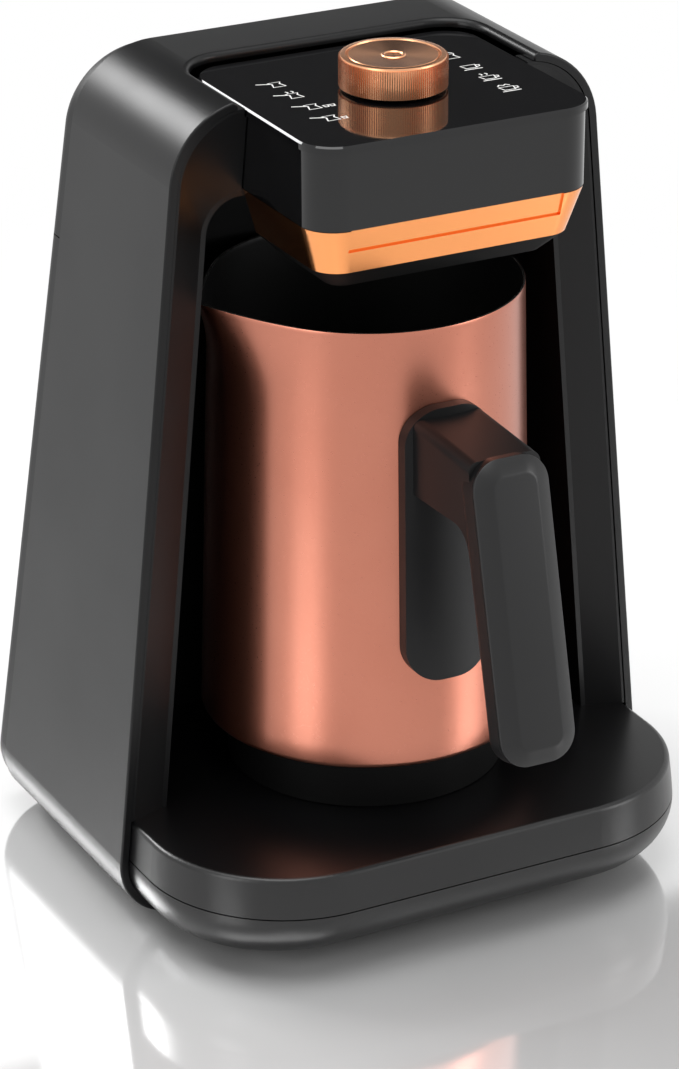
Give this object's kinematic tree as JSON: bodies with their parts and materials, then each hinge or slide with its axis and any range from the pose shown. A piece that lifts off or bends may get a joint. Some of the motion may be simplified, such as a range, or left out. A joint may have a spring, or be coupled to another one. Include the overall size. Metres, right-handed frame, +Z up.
{
  "type": "electric turkish coffee maker",
  "caption": "Electric coffee maker: a sleeve-shaped housing with a push-and-turn knob on its head and a lift-out heated pot with a side spout and long handle.",
  "frame": {"origin": "on the table, at the centre of the whole object's footprint box", "axes": "+Z up; -Y towards the user, who faces the handle and the knob; +X to the user's right"},
  "size_m": [0.1786, 0.1916, 0.2608],
  "materials": {
    "shell_black": "satin black moulded plastic",
    "frame_black": "satin black moulded plastic",
    "rear_black": "fine textured black moulded plastic",
    "base_black": "satin black moulded plastic",
    "foot_rubber": "matt black rubber",
    "head_black": "piano black moulded plastic",
    "panel_black": "polished black glassy panel",
    "trim_copper": "copper coloured metallised plastic",
    "underside_black": "matt black heat resistant plastic",
    "window_dark": "dark red infrared clear plastic",
    "sensor_metal": "nickel plated can",
    "board_green": "green solder resist over glass fibre",
    "spring_steel": "plated spring steel",
    "lamp_white": "small white lamps",
    "part_black": "black component case",
    "encoder_metal": "plated steel can",
    "ribbon_grey": "grey flat cable",
    "relay_blue": "blue moulded case",
    "transformer_yellow": "yellow tape over a ferrite core",
    "terminal_green": "green moulded terminal",
    "capacitor_sleeve": "dark sleeve over an aluminium can",
    "bushing_black": "black moulded bushing",
    "socket_black": "black heat resistant plastic",
    "contact_brass": "plated brass",
    "lead_white": "white silicone insulation",
    "screw_steel": "zinc plated steel",
    "shaft_metal": "turned aluminium",
    "plunger_white": "natural moulded plastic",
    "knob_copper": "copper coloured anodised aluminium",
    "hub_black": "black moulded plastic",
    "pot_copper": "copper coloured lacquer over brushed steel",
    "pot_base_black": "black heat resistant plastic",
    "heater_aluminium": "bare aluminium",
    "heater_steel": "steel sheathed heater tube",
    "bracket_steel": "pressed stainless steel",
    "handle_black": "satin black heat resistant plastic",
    "cover_grey": "semi-gloss dark grey plastic"
  },
  "bodies": {
    "machine": {"outer_shell": "shell_black", "front_frame": "frame_black", "rear_cap": "rear_black", "rear_cover": "rear_black", "base_deck": "base_black", "base_pan": "base_black", "head_housing": "head_black", "head_trim": "trim_copper", "head_underside": "underside_black", "sensor_window": "window_dark", "foam_sensor": "sensor_metal", "sensor_board": "board_green", "control_panel": "panel_black", "control_board": "board_green", "touch_springs": "spring_steel", "indicator_lamps": "lamp_white", "buzzer": "part_black", "encoder_body": "encoder_metal", "signal_ribbon": "ribbon_grey", "power_board": "board_green", "relay": "relay_blue", "transformer": "transformer_yellow", "terminal_block": "terminal_green", "filter_capacitor": "capacitor_sleeve", "cord_bushing": "bushing_black", "socket_block": "socket_black", "socket_contacts": "contact_brass", "heater_leads": "lead_white", "base_screws": "screw_steel", "rear_cover_screws": "screw_steel", "power_board_screws": "screw_steel", "control_board_screws": "screw_steel", "head_screws": "screw_steel", "foot_front_left": "foot_rubber", "foot_front_right": "foot_rubber", "foot_rear_left": "foot_rubber", "foot_rear_right": "foot_rubber"},
    "knob_press": {"encoder_plunger": "plunger_white"},
    "knob": {"encoder_shaft": "shaft_metal", "knob_body": "knob_copper", "knob_hub": "hub_black"},
    "pot": {"pot_body": "pot_copper", "pot_base": "pot_base_black", "pot_base_lid": "pot_base_black", "pot_base_screws": "screw_steel", "heater_plate": "heater_aluminium", "heater_tube": "heater_steel", "pot_thermostat": "part_black", "pot_plug": "pot_base_black", "plug_pins": "contact_brass", "handle_bracket": "bracket_steel", "pot_handle": "handle_black", "handle_cover": "cover_grey", "handle_screw": "screw_steel"}
  },
  "joints": [
    {"name": "knob_push", "type": "slide", "parent": "machine", "child": "knob_press", "axis": [0, 0, -1], "range_m": [0, 0.0006], "stiffness_N_per_m": 4000, "springref_m": -0.0005},
    {"name": "knob_turn", "type": "hinge", "parent": "knob_press", "child": "knob", "pos_m": [0, -0.00491, 0.252], "axis": [0, 0, 1], "continuous": true},
    {"name": "pot_slide", "type": "slide", "parent": "machine", "child": "pot", "axis": [0, -1, 0], "range_m": [0, 0.2]}
  ]
}
